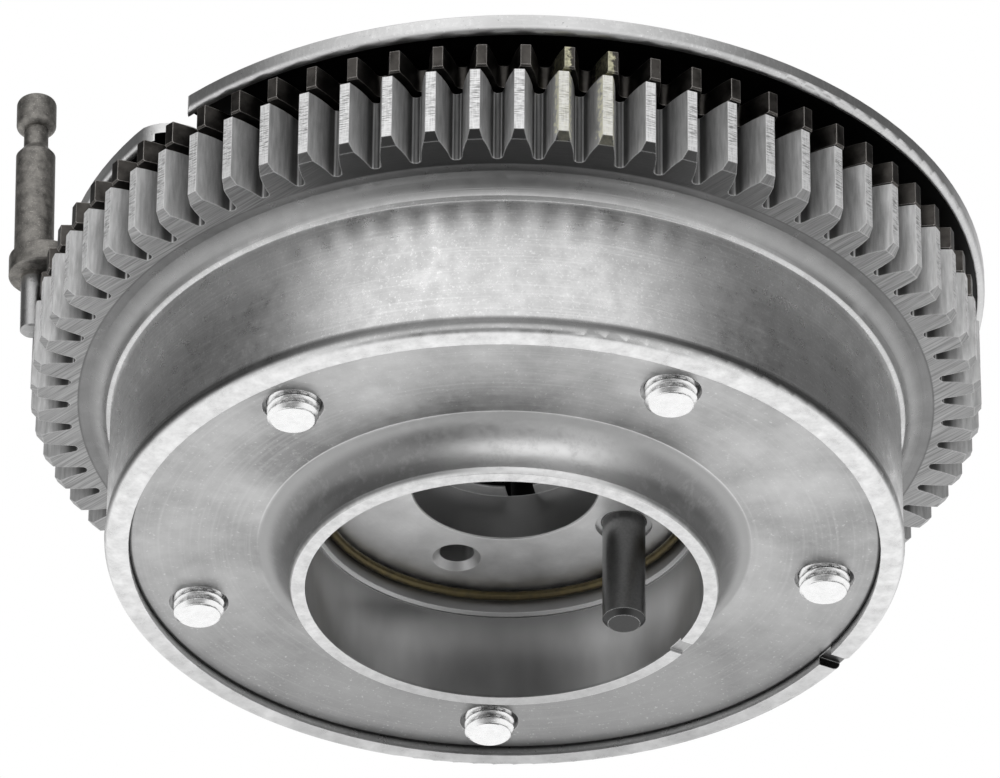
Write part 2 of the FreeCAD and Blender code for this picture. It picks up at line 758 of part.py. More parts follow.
save("gear_housing", gear_housing())
save("stator", stator())
save("rear_cover", rear_cover())
save("front_cover", front_cover())
for n, point in enumerate(bolt_points(0)):
    save("housing_bolt_%d" % (n + 1), housing_bolt(point))
save("rotor", rotor())
save("dowel_pin", dowel_pin())
save("recess_ring", recess_ring())
for n, (start, end) in enumerate(vane_limits()):
    save("vane_seal_%d" % (n + 1), vane_seal(start + vane_half))
    save("vane_leaf_%d" % (n + 1), vane_leaf(start + vane_half))
for n, angle in enumerate(bolt_az):
    save("web_seal_%d" % (n + 1), web_seal(angle))
    save("web_leaf_%d" % (n + 1), web_leaf(angle))
save("lock_pin", lock_pin())
save("lock_spring", lock_spring())
save("lock_plug", lock_plug())
save("scissor_gear", scissor_gear())
save("scissor_pin", scissor_pin())
save("stop_pin", stop_pin())
save("scissor_spring", scissor_spring())
save("retaining_ring", retaining_ring())
save("trigger_wheel", trigger_wheel())
for n, angle in enumerate(screw_az):
    save("trigger_screw_%d" % (n + 1), trigger_screw(angle))
save("bias_spring", bias_spring())
save("anchor_pin", anchor_pin())
save("transport_pin", transport_pin())
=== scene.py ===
import bpy
import bmesh
import json
import math
from mathutils import Matrix, Vector


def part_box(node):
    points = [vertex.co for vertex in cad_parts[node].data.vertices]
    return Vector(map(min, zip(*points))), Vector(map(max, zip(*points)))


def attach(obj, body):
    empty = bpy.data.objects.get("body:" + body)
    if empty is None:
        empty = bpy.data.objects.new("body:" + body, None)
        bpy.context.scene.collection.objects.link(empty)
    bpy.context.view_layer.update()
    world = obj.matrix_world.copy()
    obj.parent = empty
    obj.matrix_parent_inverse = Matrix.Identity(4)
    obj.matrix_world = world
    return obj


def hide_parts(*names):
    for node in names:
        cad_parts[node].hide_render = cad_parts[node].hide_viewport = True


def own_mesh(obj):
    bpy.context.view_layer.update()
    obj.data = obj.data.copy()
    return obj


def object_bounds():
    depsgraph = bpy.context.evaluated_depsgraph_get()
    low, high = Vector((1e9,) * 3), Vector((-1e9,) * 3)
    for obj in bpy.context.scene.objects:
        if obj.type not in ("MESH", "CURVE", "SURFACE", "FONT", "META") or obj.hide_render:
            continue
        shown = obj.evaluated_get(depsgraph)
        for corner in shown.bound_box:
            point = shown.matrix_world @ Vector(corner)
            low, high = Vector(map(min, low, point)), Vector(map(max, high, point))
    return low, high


# Looks for the cam phaser. Everything is in metres in the part's own frame: the origin is in
# the rotor's seat face, +Z runs towards the trigger wheel, and the photograph's near side is -Y.

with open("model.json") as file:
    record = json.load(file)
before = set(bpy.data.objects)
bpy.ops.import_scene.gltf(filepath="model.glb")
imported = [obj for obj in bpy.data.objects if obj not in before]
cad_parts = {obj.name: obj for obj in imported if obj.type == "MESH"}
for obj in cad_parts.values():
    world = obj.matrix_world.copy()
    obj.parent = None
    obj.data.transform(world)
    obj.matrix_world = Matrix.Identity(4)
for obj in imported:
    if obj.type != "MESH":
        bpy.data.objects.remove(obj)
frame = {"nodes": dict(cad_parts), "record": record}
cad_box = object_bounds()
nodes = frame["nodes"]
MM = 0.001

# Heights and radii that the looks follow, in millimetres
NOSE_END = -14.3                              # height of the nose's bright end face
NOSE_BORE_R = 23.5                            # the nose's inside wall lies within this radius
PLATE = -8.5                                  # outer face of the rear cover
PLATE_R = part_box("rear_cover")[1].x / MM
FLARE_R = 28.45                               # where the nose's flare meets the plate
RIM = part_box("gear_housing")[0].z / MM        # lowest face of the drum
WALL_R = 45.85                                # outer wall of the drum
GEAR_LOW = 10.3                               # lower face of the gear
GEAR_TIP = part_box("gear_housing")[1].x / MM   # outer radius of the gear
GEAR_ROOT = GEAR_TIP - 4.6                    # the teeth start here
SCISSOR_ROOT = 50.0                           # and here on the scissor gear
SLOT_Z = (6.2, 14.2)                          # the slot in the wall of the rotor's centre bore
SLOT_R = (7.4, 12.8)
WHEEL_UNDER = 26.0                            # between the trigger wheel's edge and its underside
PIN_TIP = 24.0                                # the transport pin is ground bright below this
PAINTED = (276.39, 281.53)                    # the two teeth marked with pale paint, degrees

# The cut thread at the bolts' open ends, in millimetres
BOLTS = 5
THREAD_PITCH = 1.0
THREAD_DEPTH = 0.52                           # from crest to root
CREST_R = 2.95
CREST_FLAT, FLANK = 0.14, 0.72                # shares of half a pitch, from the crest out
END_R = 2.45                                  # radius of the bevelled end
END_SLOPE = 1.3                               # growth of that radius along the bevel
THREAD_TOP = PLATE + 1.2                      # inside the plate, where the thread starts
AROUND, ROWS = 96, 36                         # points round the thread and rows along it
SHARP_ANGLE = 28.0                            # degrees, above which an edge stays sharp
JOIN_WITHIN = 0.000002                        # metres
CUT_WITHIN = 0.0000001                        # metres

SHADER_SAMPLES = 4                            # of rounded edges and corner shade

# Floor just under the nose, and lamps: place, size and watts
FLOOR_Z = cad_box[0].z - 0.0002
FLOOR_SIZE = 4.0
LAMPS = {"key": ((-0.35, -0.45, 0.55), (0.6, 0.6), 0.4),
         "front": ((0.0, -0.9, 0.12), (0.5, 0.16), 0.09)}

# Soft dark screens round the white studio, which only reflections see: azimuth and elevation
# of the middle in degrees, half-widths of the core and of the whole, and how dark it is
SCREENS = [(-90, -60, 14, 42, 0.78),          # below the front
           (174, 33, 22, 56, 0.88),           # left
           (6, 33, 22, 54, 0.88)]             # right
DIFFUSE_LEVEL = 0.75                          # how brightly the studio lights matt surfaces

# Camera, fitted to the photograph: it looks up at the nose side from below the floor
CAM_DISTANCE = 951.893                        # mm from the nose's centre
CAM_BELOW = 32.843                            # degrees below the horizon
CAM_FOCAL = 8307.306                          # pixels of the 1000 pixel wide photograph
CAM_AIM = (6.008, 202.756)                    # pixels from the image's middle to the nose's centre
CAM_ROLL = 0.513                              # degrees
CAM_CLIP = (0.01, 20.0)                       # metres
PHOTO_WIDTH = 1000                            # pixels
SENSOR = 36.0                                 # mm


# Node helpers
def linear(hex_colour):
    # An sRGB colour such as "c8c8c8" as linear RGBA.
    out = []
    for i in (0, 2, 4):
        c = int(hex_colour[i:i + 2], 16) / 255
        out.append(c / 12.92 if c <= 0.04045 else ((c + 0.055) / 1.055) ** 2.4)
    return (*out, 1.0)


def add(tree, kind, inputs=None, **settings):
    # One node with its settings, its constants and its links.
    n = tree.nodes.new(kind)
    for key, value in settings.items():
        setattr(n, key, value)
    for key, value in (inputs or {}).items():
        if isinstance(value, bpy.types.NodeSocket):
            tree.links.new(value, n.inputs[key])
        else:
            n.inputs[key].default_value = value
    return n


def calc(tree, operation, *values, clamp=False):
    inputs = dict(enumerate(values))
    return add(tree, "ShaderNodeMath", inputs, operation=operation, use_clamp=clamp).outputs[0]


def mul(tree, first, *others, clamp=False):
    for value in others:
        first = calc(tree, "MULTIPLY", first, value, clamp=clamp)
    return first


def plus(tree, a, b):
    return calc(tree, "ADD", a, b)


def less(tree, a, b, clamp=False):
    return calc(tree, "SUBTRACT", a, b, clamp=clamp)


def absolute(tree, value):
    return calc(tree, "ABSOLUTE", value)


def larger(tree, a, b):
    return calc(tree, "MAXIMUM", a, b)


def step_up(tree, value, low, high):
    # 0 below low, 1 above high, smooth between. It falls instead if low is the larger.
    n = add(tree, "ShaderNodeMapRange", {"Value": value, "From Min": low, "From Max": high},
            interpolation_type="SMOOTHSTEP")
    return n.outputs[0]


def band(tree, value, low, high, soft):
    # 1 between low and high, with soft sides.
    up = step_up(tree, value, low - soft, low + soft)
    down = step_up(tree, value, high + soft, high - soft)
    return mul(tree, up, down)


def remap(tree, value, low, high):
    # Noise runs over about 0.3 to 0.7; this spreads it over low to high.
    n = add(tree, "ShaderNodeMapRange", {"Value": value, "From Min": 0.3, "From Max": 0.7,
                                         "To Min": low, "To Max": high})
    return n.outputs[0]


def blend(tree, mask, a, b):
    # Colour a where the mask is 0, colour b where it is 1. A hex string is a plain colour.
    a, b = (linear(c) if isinstance(c, str) else c for c in (a, b))
    return add(tree, "ShaderNodeMix", {0: mask, 6: a, 7: b}, data_type="RGBA").outputs[2]


def mottle(tree, value, a, b):
    return blend(tree, remap(tree, value, 0.0, 1.0), a, b)


def mix_value(tree, mask, a, b):
    return add(tree, "ShaderNodeMix", {0: mask, 2: a, 3: b}).outputs[0]


def noise(tree, vector, grain=1.0, detail=3.0, roughness=0.5):
    # Cloudy marks; grain is their size, in millimetres where the vector is.
    return add(tree, "ShaderNodeTexNoise", {"Vector": vector, "Scale": 1 / grain, "Detail": detail,
                                            "Roughness": roughness}).outputs[0]


def combine(tree, x, y, z):
    return add(tree, "ShaderNodeCombineXYZ", {0: x, 1: y, 2: z}).outputs[0]


def vector_math(tree, operation, a, b=None):
    inputs = {0: a} if b is None else {0: a, 1: b}
    return add(tree, "ShaderNodeVectorMath", inputs, operation=operation)


class Place:
    """Where a point of the surface is: millimetres, radius, direction and normal."""

    def __init__(self, tree):
        coord = add(tree, "ShaderNodeTexCoord")
        self.mm = add(tree, "ShaderNodeVectorMath", {0: coord.outputs["Object"], 3: 1 / MM},
                      operation="SCALE").outputs[0]
        split = add(tree, "ShaderNodeSeparateXYZ", {0: self.mm})
        self.x, self.y, self.z = split.outputs[0], split.outputs[1], split.outputs[2]
        flat = combine(tree, self.x, self.y, 0.0)
        self.r = vector_math(tree, "LENGTH", flat).outputs[1]
        out = vector_math(tree, "NORMALIZE", flat).outputs[0]
        side = add(tree, "ShaderNodeSeparateXYZ", {0: out})
        self.ux, self.uy = side.outputs[0], side.outputs[1]
        self.angle = calc(tree, "ARCTAN2", self.y, self.x)
        normal = coord.outputs["Normal"]
        self.nz = add(tree, "ShaderNodeSeparateXYZ", {0: normal}).outputs[2]
        self.nr = vector_math(tree, "DOT_PRODUCT", normal, out).outputs[1]

    def turned(self, tree, along, fine, round_):
        # Coordinates for marks that run round the axis: fine to the millimetre across them, and
        # the longer round the circle, the smaller round_ is.
        return combine(tree, mul(tree, self.ux, round_), mul(tree, self.uy, round_),
                       mul(tree, along, fine))


def material(name, base, roughness, metallic=1.0):
    m = bpy.data.materials.new(name)
    m.use_nodes = True
    tree = m.node_tree
    shader = tree.nodes["Principled BSDF"]
    shader.inputs["Base Color"].default_value = linear(base)
    shader.inputs["Roughness"].default_value = roughness
    shader.inputs["Metallic"].default_value = metallic
    return m, tree, shader


def link(tree, shader, colour, roughness, height, depth, soft_edge=0.0):
    # depth and soft_edge are in millimetres.
    tree.links.new(colour, shader.inputs["Base Color"])
    tree.links.new(roughness, shader.inputs["Roughness"])
    bump = {"Height": height, "Distance": depth * MM, "Strength": 1.0}
    if soft_edge:
        bump["Normal"] = bevelled(tree, soft_edge)
    normal = add(tree, "ShaderNodeBump", bump).outputs[0]
    tree.links.new(normal, shader.inputs["Normal"])


def bevelled(tree, width):
    # The normal as if the piece's edges were rounded; width is in millimetres.
    return add(tree, "ShaderNodeBevel", {"Radius": width * MM},
               samples=SHADER_SAMPLES).outputs[0]


def worn_and_highlit_edges(tree, width):
    # Mask for edges brightened both as wear and as a painted highlight: 1 on convex and concave
    # edges, from how far a rounded normal turns from the real one.
    true = add(tree, "ShaderNodeNewGeometry").outputs["Normal"]
    same = vector_math(tree, "DOT_PRODUCT", bevelled(tree, width), true).outputs[1]
    return step_up(tree, same, 0.995, 0.86)


def painted_corner_shade(tree, reach, low=0.75, high=0.2):
    # Mask for painted shade: 1 deep in the piece's own corners and slots, 0 in the open; reach is
    # in millimetres.
    open_ = add(tree, "ShaderNodeAmbientOcclusion", {"Distance": reach * MM},
                samples=SHADER_SAMPLES, only_local=True).outputs[1]
    return step_up(tree, open_, low, high)


def paint_mask(tree, p, half):
    # Pale marking paint on the painted teeth, brushed on with ragged edges.
    ragged = remap(tree, noise(tree, p.mm, 0.625, 5.0, 0.7), -0.45, 0.45)
    turn = plus(tree, mul(tree, p.angle, 180 / math.pi), ragged)
    patches = []
    for tooth in PAINTED:
        away = absolute(tree, less(tree, turn, tooth - 360))
        patches.append(step_up(tree, away, half + 0.1, half - 0.1))
    return larger(tree, *patches)


def turned_lines(tree, p, fine, round_, detail=4.0):
    # Lathe marks: across z on walls, across the radius on faces.
    walls = noise(tree, p.turned(tree, p.z, fine, round_), 1.0, detail, 0.6)
    faces = noise(tree, p.turned(tree, p.r, fine, round_), 1.0, detail, 0.6)
    return mix_value(tree, step_up(tree, absolute(tree, p.nz), 0.6, 0.8), walls, faces)


class DrumMarks:
    """The patterns that the drum's wall, rim and teeth share."""

    def __init__(self, tree, p):
        self.lines = turned_lines(tree, p, 3.4, 2.0)
        self.fine = turned_lines(tree, p, 9.0, 3.0, 2.0)
        self.cloud = noise(tree, p.mm, 10.0, 6.0, 0.62)
        self.blot = noise(tree, p.mm, 1.8182, 5.0, 0.65)
        self.speck = noise(tree, p.mm, 0.3125, 3.0, 0.7)
        self.near_gear = step_up(tree, p.z, GEAR_LOW - 8.0, GEAR_LOW - 2.5)
        self.teeth = step_up(tree, p.r, GEAR_ROOT - 1.2, GEAR_ROOT - 0.9)
        self.land = mul(tree, step_up(tree, p.nr, 0.93, 0.98),
                        step_up(tree, p.r, GEAR_TIP - 1.2, GEAR_TIP - 0.8))
        self.face = mul(tree, step_up(tree, p.nz, -0.35, -0.55),
                        step_up(tree, p.r, GEAR_ROOT - 1.0, GEAR_ROOT - 0.8))


def drum_wall(tree, p, marks):
    # Turned wall, clouded and blotched, ridged and streaked upright towards the gear.
    upright = noise(tree, p.turned(tree, p.z, 0.12, 16.0), 1.0, 3.0, 0.6)
    wall = mottle(tree, marks.cloud, "c2c2c2", "e8e8e8")
    wall = blend(tree, remap(tree, marks.blot, -0.4, 0.7), wall, "c6c6c6")
    wall = blend(tree, remap(tree, marks.lines, -0.5, 0.45), wall, "f0f0f0")
    ridges = mul(tree, marks.near_gear, remap(tree, marks.fine, -0.4, 0.55))
    wall = blend(tree, ridges, wall, "d6d6d6")
    # Upright streaks, darker, towards the gear
    near_gear_streaks = mul(tree, marks.near_gear, remap(tree, upright, -0.3, 0.32))
    wall = blend(tree, near_gear_streaks, wall, "d2d2d2")
    # Painted sparkle: white specks on the wall
    sparkle_specks = step_up(tree, marks.speck, 0.57, 0.66)
    wall = blend(tree, mul(tree, sparkle_specks, 0.5), wall, "ffffff")
    # Painted shade: the dark shoulder under the gear and the dark band above the rim
    shoulder = mul(tree, step_up(tree, p.r, WALL_R + 0.25, WALL_R + 0.75),
                   step_up(tree, p.z, GEAR_LOW - 3.0, GEAR_LOW - 2.0),
                   remap(tree, marks.cloud, 0.8, 1.0))
    deep = blend(tree, step_up(tree, p.r, WALL_R + 1.0, WALL_R + 2.6), "9a9a9a", "767676")
    wall = blend(tree, shoulder, wall, deep)
    shade = band(tree, p.z, RIM + 0.75, RIM + 2.0, 0.4)
    return blend(tree, mul(tree, shade, 0.85), wall, "646464")


def drum_rim(tree, p, marks):
    # Bright rim, with painted shade on its far side.
    far_side_shade = mul(tree, step_up(tree, p.y, 0.0, 45.0), remap(tree, marks.cloud, 0.4, 1.0))
    rim = mottle(tree, marks.blot, "d2d2d2", "fafafa")
    return blend(tree, mul(tree, far_side_shade, 0.8), rim, "8c8c8c")


def tooth_flanks(tree, p):
    # Cut flanks, with painted shade in the roots and a painted reflection, a light line, where a
    # root turns up.
    streak = noise(tree, combine(tree, mul(tree, p.r, 2.2), mul(tree, p.z, 0.25),
                                 mul(tree, p.angle, 40.0)), 1.0, 4.0, 0.6)
    root = step_up(tree, p.r, GEAR_ROOT + 1.9, GEAR_ROOT + 0.9)
    flank = mottle(tree, streak, "acacac", "d8d8d8")
    flank = blend(tree, mul(tree, root, 0.8), flank, "343434")
    return blend(tree, mul(tree, root, band(tree, p.nr, 0.62, 0.84, 0.07)), flank, "e0e0e0")


def tooth_lands(tree, p):
    # Bright lands, ticked across the middle of their width.
    lines = noise(tree, combine(tree, mul(tree, p.angle, 300.0), mul(tree, p.z, 0.5), 0.0),
                  1.0, 3.0, 0.6)
    ticks = noise(tree, combine(tree, mul(tree, p.angle, 45.0), mul(tree, p.z, 6.5), 7.0),
                  1.0, 2.0, 0.6)
    middle = band(tree, p.z, GEAR_LOW + 2.6, GEAR_LOW + 8.0, 1.0)
    land = mottle(tree, lines, "c8c8c8", "fcfcfc")
    land = blend(tree, remap(tree, ticks, -0.5, 1.0), land, "f8f8f8")
    return blend(tree, mul(tree, middle, remap(tree, ticks, 0.9, -0.7)), land, "707070")


def tooth_faces(tree, p):
    # The gear's lower face, hatched, with painted shade at the front and back.
    slant = mul(tree, plus(tree, p.x, p.y), 3.4)
    hatch = noise(tree, combine(tree, slant, mul(tree, p.x, 0.15), 0.0), 1.0, 2.0, 0.6)
    face = mottle(tree, hatch, "7c7c7c", "b0b0b0")
    return blend(tree, step_up(tree, absolute(tree, p.ux), 0.75, 0.3), face, "4c4c4c")


def drum_paint(tree, p, marks):
    # Thin marking paint on two teeth, rubbed on their lands.
    side = step_up(tree, p.nz, -0.75, -0.6)
    thin = remap(tree, noise(tree, p.mm, 0.41667, 4.0, 0.6), 0.35, 1.0)
    paint = mul(tree, paint_mask(tree, p, 0.85), mul(tree, marks.teeth, side))
    paint = mul(tree, paint, thin, clamp=True)
    return mul(tree, paint, less(tree, 1.0, mul(tree, marks.land, 0.6)))


def drum_steel():
    # Machined sintered steel: turned drum and rim, cut teeth with bright lands.
    m, tree, shader = material("machined_steel_drum", "c8c8c8", 0.34)
    p = Place(tree)
    marks = DrumMarks(tree, p)
    teeth, land = marks.teeth, marks.land
    rim = step_up(tree, p.z, RIM + 0.5, RIM + 0.2)
    colour = blend(tree, rim, drum_wall(tree, p, marks), drum_rim(tree, p, marks))
    # Painted shade on the walls of the rim's notch that stand across it
    across = mul(tree, step_up(tree, absolute(tree, p.nr), 0.7, 0.5),
                 step_up(tree, absolute(tree, p.nz), 0.5, 0.3))
    notch_shade = mul(tree, across, step_up(tree, p.z, RIM + 2.2, RIM + 1.8))
    colour = blend(tree, notch_shade, colour, "242424")
    flank = blend(tree, land, tooth_flanks(tree, p), tooth_lands(tree, p))
    flank = blend(tree, marks.face, flank, tooth_faces(tree, p))
    colour = blend(tree, teeth, colour, flank)
    # Edges brightened as wear and as a painted highlight
    colour = blend(tree, mul(tree, worn_and_highlit_edges(tree, 0.22), 0.5), colour, "f0f0f0")
    # Painted shade in the drum's own corners, weaker among the teeth
    corner = mul(tree, painted_corner_shade(tree, 6.0), less(tree, 0.8, mul(tree, teeth, 0.45)))
    colour = blend(tree, corner, colour, "2a2928")
    paint = drum_paint(tree, p, marks)
    colour = blend(tree, mul(tree, paint, 0.9), colour, "e4e1c0")
    # The tooth gaps, the lands and the paint reflect less than bare steel
    bare = less(tree, 1.0, mul(tree, paint, 0.85))
    in_gap = mul(tree, teeth, less(tree, 1.0, larger(tree, land, marks.face)))
    dull = plus(tree, mul(tree, in_gap, 0.45), mul(tree, land, 0.45))
    tree.links.new(less(tree, bare, dull, clamp=True), shader.inputs["Metallic"])
    rough = plus(tree, remap(tree, marks.blot, 0.24, 0.40), mul(tree, teeth, 0.06))
    rough = plus(tree, rough, mul(tree, land, 0.15))
    height = plus(tree, marks.lines, mul(tree, marks.near_gear, marks.fine, 1.2))
    height = plus(tree, height, mul(tree, marks.speck, 0.2))
    link(tree, shader, colour, rough, height, 0.012, 0.15)
    return m


def cover_plate(tree, p, cloud, blot, nick):
    # Satin plate, cloudy and softly brushed, with painted shade on its far side.
    lines = turned_lines(tree, p, 2.6, 1.2)
    colour = mottle(tree, cloud, "949494", "d0d0d0")
    colour = blend(tree, remap(tree, lines, -0.25, 0.25), colour, "d4d4d4")
    colour = blend(tree, remap(tree, blot, -0.5, 0.4), colour, "c8c8c8")
    far_side_shade = mul(tree, step_up(tree, p.y, -10.0, 42.0), remap(tree, cloud, 0.5, 0.9), 0.75)
    colour = blend(tree, far_side_shade, colour, "7c7c7c")
    return blend(tree, mul(tree, step_up(tree, nick, 0.61, 0.70), 0.35), colour, "f4f4f4")


def cover_flare(tree, p, blot):
    # Dark as painted shade, with one soft painted highlight towards the front, and a lip at the
    # plate.
    aside = absolute(tree, less(tree, p.ux, 0.15))
    highlight_patch = mul(tree, step_up(tree, aside, 0.55, 0.05), step_up(tree, p.y, 0.0, -8.0))
    flare = blend(tree, highlight_patch, "828282", "f0f0f0")
    flare = blend(tree, step_up(tree, p.r, FLARE_R - 2.3, FLARE_R - 0.9), flare, "a6a6a6")
    return blend(tree, remap(tree, blot, -0.4, 0.4), flare, "b0b0b0")


def cover_bore(tree, p):
    # Inside of the nose, streaked upright, with painted shade deeper in, towards the seat.
    upright = noise(tree, p.turned(tree, p.z, 0.05, 2.5), 1.0, 3.0, 0.5)
    bore = mottle(tree, upright, "b8b8b8", "ececec")
    return blend(tree, step_up(tree, p.z, NOSE_END + 5.0, NOSE_END + 13.0), bore, "808080")


def cover_end(tree, p, blot):
    # The nose's end face, ground bright, with painted shade on its far side.
    end = mottle(tree, blot, "c8c8c8", "f0f0f0")
    return blend(tree, mul(tree, step_up(tree, p.y, 8.0, 25.0), 0.5), end, "909090")


def cover_steel():
    # Satin steel plate and flared nose.
    m, tree, shader = material("satin_steel_cover", "b8b8b8", 0.36)
    p = Place(tree)
    cloud = noise(tree, p.mm, 14.286, 6.0, 0.6)
    blot = noise(tree, p.mm, 1.4286, 5.0, 0.7)
    nick = noise(tree, p.mm, 0.45455, 3.0, 0.75)
    colour = cover_plate(tree, p, cloud, blot, nick)
    flare = mul(tree, step_up(tree, p.r, FLARE_R + 0.1, FLARE_R - 0.1),
                step_up(tree, p.nr, 0.05, 0.25), step_up(tree, p.z, PLATE, PLATE - 0.1))
    colour = blend(tree, flare, colour, cover_flare(tree, p, blot))
    # Painted highlight: a bright line where the flare meets the plate, on the near side
    crease_highlight = mul(tree, band(tree, p.r, FLARE_R - 0.1, FLARE_R + 0.05, 0.08),
                 step_up(tree, p.y, 5.0, -22.0), 0.6)
    colour = blend(tree, crease_highlight, colour, "f4f4f4")
    inside = mul(tree, step_up(tree, p.nr, -0.5, -0.8),
                 step_up(tree, p.r, NOSE_BORE_R + 0.5, NOSE_BORE_R))
    colour = blend(tree, inside, colour, cover_bore(tree, p))
    end = step_up(tree, p.z, NOSE_END + 0.5, NOSE_END + 0.1)
    colour = blend(tree, end, colour, cover_end(tree, p, blot))
    # Edges brightened as wear and as a painted highlight
    colour = blend(tree, mul(tree, worn_and_highlit_edges(tree, 0.2), 0.6), colour, "f4f4f4")
    # Painted shade in the cover's own corners
    colour = blend(tree, mul(tree, painted_corner_shade(tree, 3.0), 0.6), colour, "2a2928")
    # Painted shadow in the seam where the plate meets the drum
    seam_shadow = mul(tree, step_up(tree, p.r, PLATE_R - 0.4, PLATE_R - 0.15), 0.85)
    colour = blend(tree, seam_shadow, colour, "1c1c1c")
    rough = mix_value(tree, inside, remap(tree, blot, 0.28, 0.46), 0.3)
    height = mul(tree, plus(tree, blot, nick), less(tree, 1.0, inside))
    link(tree, shader, colour, rough, height, 0.016, 0.15)
    return m


def ground_steel(name, dark, light, bore=None, dull=0.0):
    # Ground or fine turned steel of the inner pieces. Walls that face the axis may carry painted
    # shade.
    m, tree, shader = material(name, dark, 0.34)
    p = Place(tree)
    lines = turned_lines(tree, p, 4.0, 1.0)
    cloud = noise(tree, p.mm, 5.0, 5.0, 0.6)
    colour = mottle(tree, cloud, dark, light)
    colour = blend(tree, remap(tree, lines, -0.2, 0.4), colour, "dcdcdc")
    if bore:
        colour = blend(tree, step_up(tree, p.nr, -0.5, -0.8), colour, bore)
    # Edges brightened as wear and as a painted highlight
    colour = blend(tree, mul(tree, worn_and_highlit_edges(tree, 0.2), 0.7), colour, "f4f4f4")
    # Painted shade in the piece's own corners and slots
    colour = blend(tree, mul(tree, painted_corner_shade(tree, 2.5, 0.35, 0.05), 0.9), colour, "141414")
    # Painted shade inside the slot in the centre bore's wall
    slot_shade = mul(tree, band(tree, p.r, *SLOT_R, 0.2), band(tree, p.z, *SLOT_Z, 0.1))
    colour = blend(tree, slot_shade, colour, "101010")
    link(tree, shader, colour, remap(tree, cloud, 0.28 + dull, 0.42 + dull), lines, 0.008, 0.12)
    return m


def plain_steel(name, base, other, roughness, grain=0.5, edge="c8c8c8", end=None):
    # A small machined or hardened piece, whose lower end may carry painted shade.
    m, tree, shader = material(name, base, roughness)
    p = Place(tree)
    cloud = noise(tree, p.mm, grain, 4.0, 0.6)
    colour = mottle(tree, cloud, base, other)
    if end:
        # Painted shade on the lower end
        colour = blend(tree, step_up(tree, p.nz, -0.4, -0.6), colour, end)
    # Edges brightened as wear and as a painted highlight
    colour = blend(tree, mul(tree, worn_and_highlit_edges(tree, 0.15), 0.6), colour, edge)
    rough = remap(tree, cloud, roughness - 0.06, roughness + 0.08)
    link(tree, shader, colour, rough, cloud, 0.006, 0.08)
    return m


def scissor_steel():
    # Brown-black tempered steel of the scissor gear, lighter on its edges where its teeth have
    # rubbed and as a painted highlight.
    m, tree, shader = material("tempered_steel_scissor", "3a3632", 0.34)
    p = Place(tree)
    cloud = noise(tree, p.mm, 2.0, 4.0, 0.6)
    colour = mottle(tree, cloud, "302e2c", "585552")
    colour = blend(tree, mul(tree, worn_and_highlit_edges(tree, 0.18), 0.7), colour, "c8c4c0")
    # Painted shade in the scissor gear's own corners
    colour = blend(tree, mul(tree, painted_corner_shade(tree, 4.0), 0.8), colour, "0c0b0b")
    thin = remap(tree, noise(tree, p.mm, 0.41667, 4.0, 0.6), 0.2, 1.0)
    paint = mul(tree, paint_mask(tree, p, 0.8),
                step_up(tree, p.r, SCISSOR_ROOT, SCISSOR_ROOT + 0.5), thin)
    colour = blend(tree, paint, colour, "d6d3b4")
    link(tree, shader, colour, remap(tree, cloud, 0.28, 0.44), cloud, 0.008, 0.12)
    return m


def wheel_steel():
    # Pressed sheet: satin on its outer edge, with painted shade underneath.
    m, tree, shader = material("pressed_sheet_steel", "c0c0c0", 0.34)
    p = Place(tree)
    cloud = noise(tree, p.mm, 16.667, 6.0, 0.55)
    fine = noise(tree, p.mm, 0.41667, 3.0, 0.7)
    rolled = combine(tree, mul(tree, p.x, 0.2), mul(tree, p.y, 5.0), p.z)
    grain = noise(tree, rolled, 1.0, 4.0, 0.65)
    colour = mottle(tree, cloud, "c2c2c2", "dcdcdc")
    colour = blend(tree, remap(tree, grain, -0.4, 0.4), colour, "eeeeee")
    # Edges brightened as wear and as a painted highlight
    colour = blend(tree, mul(tree, worn_and_highlit_edges(tree, 0.25), 0.7), colour, "f8f8f8")
    colour = blend(tree, mul(tree, step_up(tree, fine, 0.60, 0.70), 0.6), colour, "f4f4f4")
    colour = blend(tree, mul(tree, step_up(tree, fine, 0.36, 0.28), 0.6), colour, "707070")
    underside_shade = mul(tree, step_up(tree, p.nz, -0.7, -0.9),
                step_up(tree, p.z, WHEEL_UNDER - 0.1, WHEEL_UNDER + 0.1))
    colour = blend(tree, underside_shade, colour, "383838")
    link(tree, shader, colour, remap(tree, cloud, 0.30, 0.38), grain, 0.008, 0.15)
    return m


def phosphate():
    # Dark zinc phosphate on the transport pin, with a bright ground tip.
    m, tree, shader = material("phosphated_steel_pin", "5a5652", 0.55)
    p = Place(tree)
    cloud = noise(tree, p.mm, 1.1111, 5.0, 0.65)
    grit = noise(tree, p.mm, 0.2, 3.0, 0.7)
    colour = mottle(tree, cloud, "64625f", "a09d98")
    colour = blend(tree, mul(tree, step_up(tree, grit, 0.58, 0.70), 0.6), colour, "ccc8c2")
    bright = step_up(tree, p.z, PIN_TIP + 0.2, PIN_TIP - 0.1)
    colour = blend(tree, bright, colour, "b0b0b0")
    rough = less(tree, remap(tree, cloud, 0.42, 0.6), mul(tree, bright, 0.2))
    link(tree, shader, colour, rough, grit, 0.03, 0.1)
    return m


def zinc():
    # Bright zinc plate, slightly cloudy, with painted shade in the thread.
    m, tree, shader = material("bright_zinc_plate", "f0f0f0", 0.24)
    p = Place(tree)
    cloud = noise(tree, p.mm, 0.66667, 4.0, 0.6)
    colour = mottle(tree, cloud, "f0f0f0", "ffffff")
    colour = blend(tree, mul(tree, painted_corner_shade(tree, 0.7, 0.8, 0.4), 0.85), colour, "303030")
    link(tree, shader, colour, remap(tree, cloud, 0.18, 0.34), cloud, 0.01, 0.06)
    return m


def polymer():
    # Moulded dark seal polymer, matt.
    m, tree, shader = material("seal_polymer", "242424", 0.5, metallic=0.0)
    p = Place(tree)
    cloud = noise(tree, p.mm, 0.33333, 3.0, 0.6)
    colour = mottle(tree, cloud, "1c1c1c", "333333")
    link(tree, shader, colour, remap(tree, cloud, 0.42, 0.58), cloud, 0.004)
    return m


